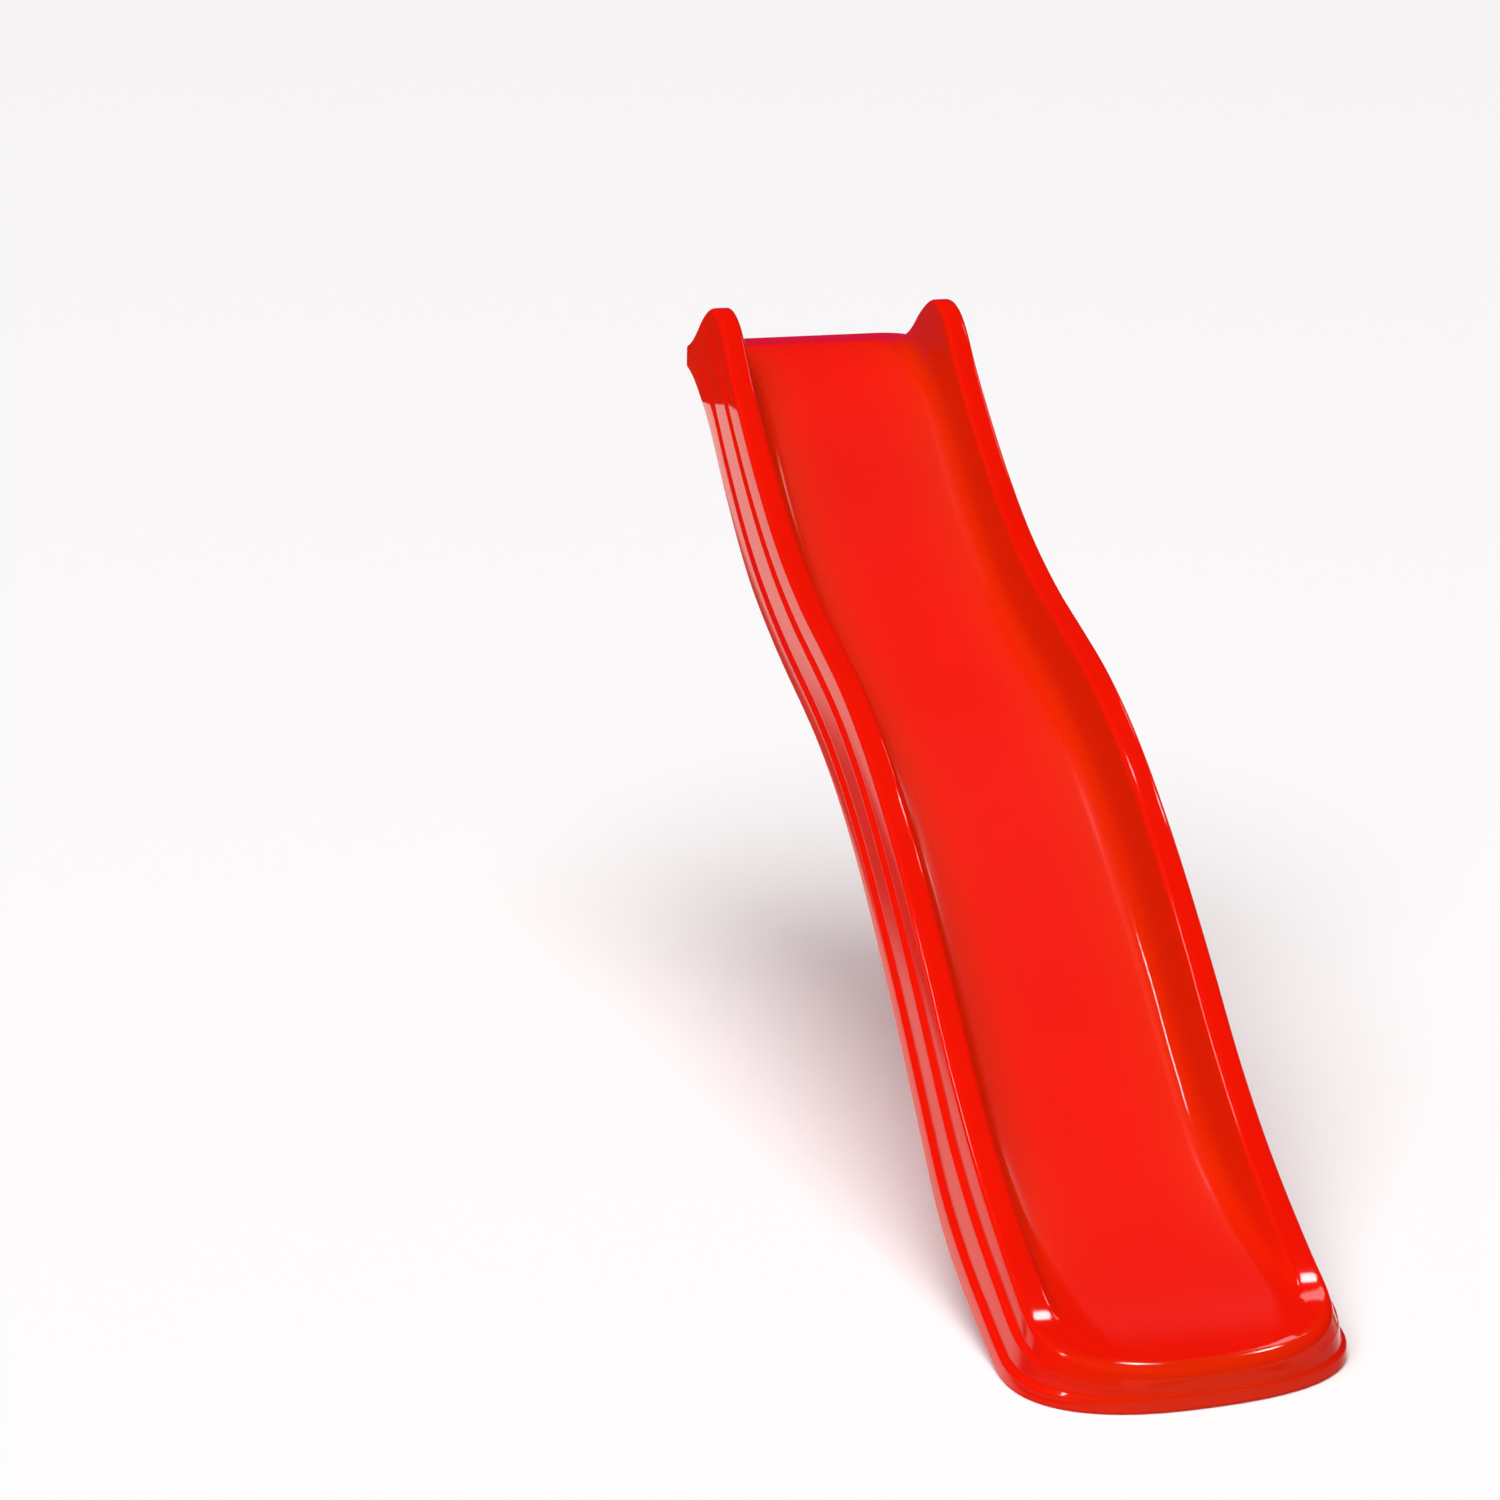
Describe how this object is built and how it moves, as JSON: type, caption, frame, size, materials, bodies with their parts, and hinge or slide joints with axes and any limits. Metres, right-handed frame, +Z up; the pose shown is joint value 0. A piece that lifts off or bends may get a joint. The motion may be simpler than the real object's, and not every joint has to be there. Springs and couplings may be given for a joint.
{
  "type": "wave slide",
  "caption": "Hollow moulded wave slide for a raised play deck: chute with raised ears, stepped sides, flared foot, deck screws and a garden-hose fitting.",
  "frame": {"origin": "middle of the flat face that rests on the deck, at the deck's height", "axes": "+Z up, the slide runs down towards -Y, +X to the right seen from the foot, symmetry plane at X = 0"},
  "size_m": [0.54, 2.076, 1.321],
  "materials": {
    "red_gloss": "glossy red moulded polyethylene with a faint orange peel",
    "red_inner": "red moulded polyethylene, satin",
    "zinc": "zinc-plated steel",
    "black": "black nylon",
    "seal": "black rubber",
    "hose": "milky soft hose"
  },
  "bodies": {
    "root": {"chute_shell": "red_gloss", "underside_shell": "red_inner", "fixing_cup_left": "red_inner", "fixing_cup_right": "red_inner", "deck_washer_left": "zinc", "deck_washer_right": "zinc", "deck_screw_left": "zinc", "deck_screw_right": "zinc", "screw_cap_left": "red_inner", "screw_cap_right": "red_inner", "hose_connector": "black", "hose_seal": "seal", "hose_nut": "black", "water_tube": "hose", "water_nozzle": "black", "nozzle_nut": "black", "blow_plug_upper": "red_inner", "blow_plug_lower": "red_inner"}
  },
  "joints": []
}
